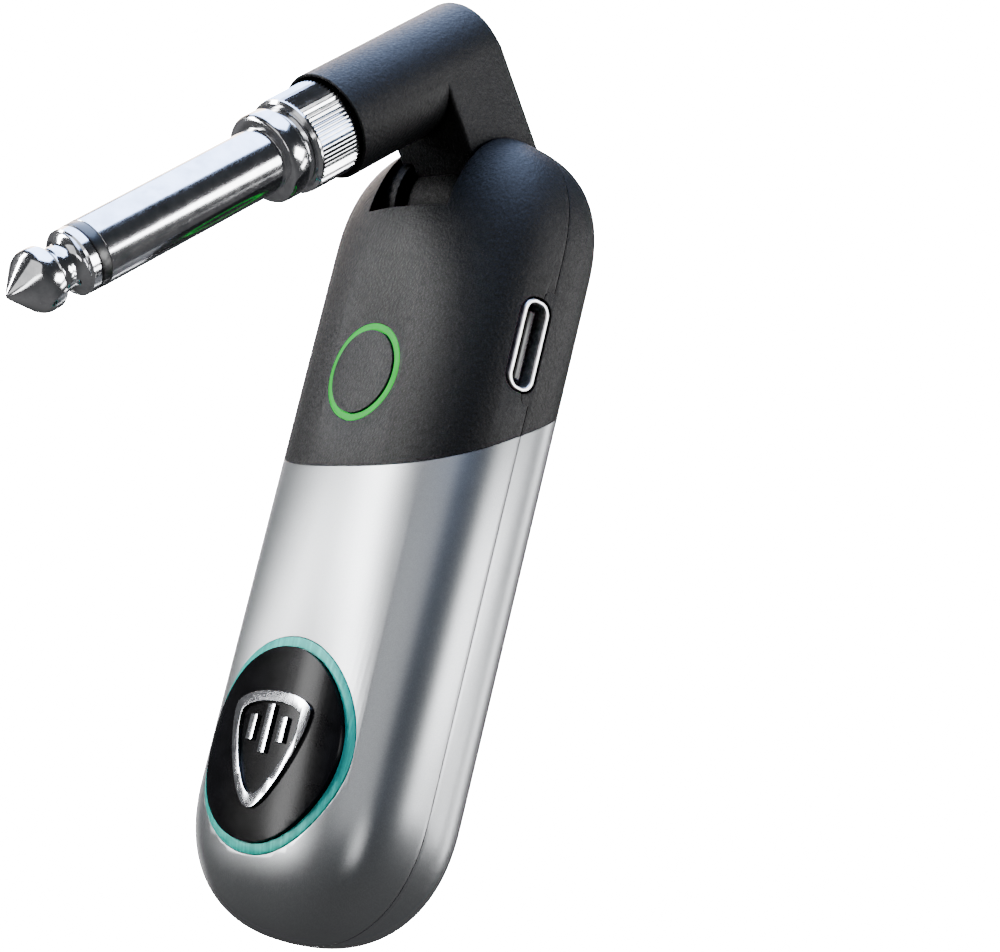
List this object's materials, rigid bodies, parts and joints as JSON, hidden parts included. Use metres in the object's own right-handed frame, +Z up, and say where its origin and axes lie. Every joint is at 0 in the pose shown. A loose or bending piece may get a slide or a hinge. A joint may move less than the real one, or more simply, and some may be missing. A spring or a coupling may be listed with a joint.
{
  "type": "wireless guitar transmitter",
  "caption": "Pocket wireless transmitter for an electric guitar: a domed capsule case with a lit button, a charging port and a folding arm that carries a jack plug.",
  "frame": {"origin": "centre of the jack plug's shoulder, where the plug's flange meets a guitar's jack plate", "axes": "+Z up along the case towards the hinge, -Y the side with the button, +X the side with the charging port"},
  "size_m": [0.0286, 0.0575, 0.0914],
  "materials": {
    "black_abs": "spark-eroded fine grain, charcoal black",
    "silver_paint": "satin metallic silver paint",
    "teal_trim": "teal metallic ring",
    "gloss_black": "high gloss piano black",
    "chrome_trim": "chrome plated raised emblem",
    "chrome_plug": "polished nickel-chrome plate",
    "bright_steel": "bright stamped steel",
    "contact_brass": "plain brass spring contact",
    "insulator_black": "smooth black moulded insulator",
    "green_light": "lit green light guide",
    "circuit_board": "green solder resist on glass-epoxy board",
    "battery_foil": "silver laminate pouch",
    "black_foam": "open-cell foam",
    "white_ceramic": "matt white ceramic"
  },
  "bodies": {
    "case": {"upper_front_shell": "black_abs", "upper_rear_shell": "black_abs", "lower_front_shell": "silver_paint", "lower_rear_shell": "silver_paint", "front_badge_ring": "teal_trim", "front_badge_dome": "gloss_black", "front_emblem": "chrome_trim", "rear_badge_ring": "teal_trim", "rear_badge_disc": "gloss_black", "rear_emblem": "chrome_trim", "button_light_ring": "green_light", "rear_light_window": "green_light", "usb_port_shell": "bright_steel", "usb_port_tongue": "insulator_black", "main_circuit_board": "circuit_board", "board_screw_left": "bright_steel", "board_screw_right": "bright_steel", "tact_switch": "insulator_black", "ring_lamp_left": "white_ceramic", "ring_lamp_right": "white_ceramic", "window_lamp": "white_ceramic", "radio_shield_can": "bright_steel", "chip_antenna": "white_ceramic", "battery_cell": "battery_foil", "battery_foam_pad": "black_foam"},
    "button": {"button_cap": "black_abs"},
    "arm": {"arm_housing": "black_abs", "hinge_axle": "bright_steel", "hinge_washer_left": "bright_steel", "hinge_washer_right": "bright_steel", "plug_base": "chrome_plug", "mini_plug_sleeve": "chrome_plug", "mini_plug_insulator": "insulator_black", "mini_plug_ring": "chrome_plug", "mini_plug_tip": "chrome_plug"},
    "adapter": {"adapter_collar": "chrome_plug", "adapter_sleeve": "chrome_plug", "adapter_insulator": "insulator_black", "adapter_tip": "chrome_plug", "adapter_contact": "contact_brass"}
  },
  "joints": [
    {"name": "arm_hinge", "type": "hinge", "parent": "case", "child": "arm", "pos_m": [0, 0.02622, 0.00463], "axis": [1, 0, 0], "range_deg": [-149, 45.5]},
    {"name": "button_press", "type": "slide", "parent": "case", "child": "button", "axis": [0, 1, 0], "range_m": [0, 0.0003], "stiffness_N_per_m": 3000, "springref_m": -0.0002},
    {"name": "adapter_pull", "type": "slide", "parent": "arm", "child": "adapter", "axis": [0, -0.7157, -0.6984], "range_m": [0, 0.024]}
  ]
}
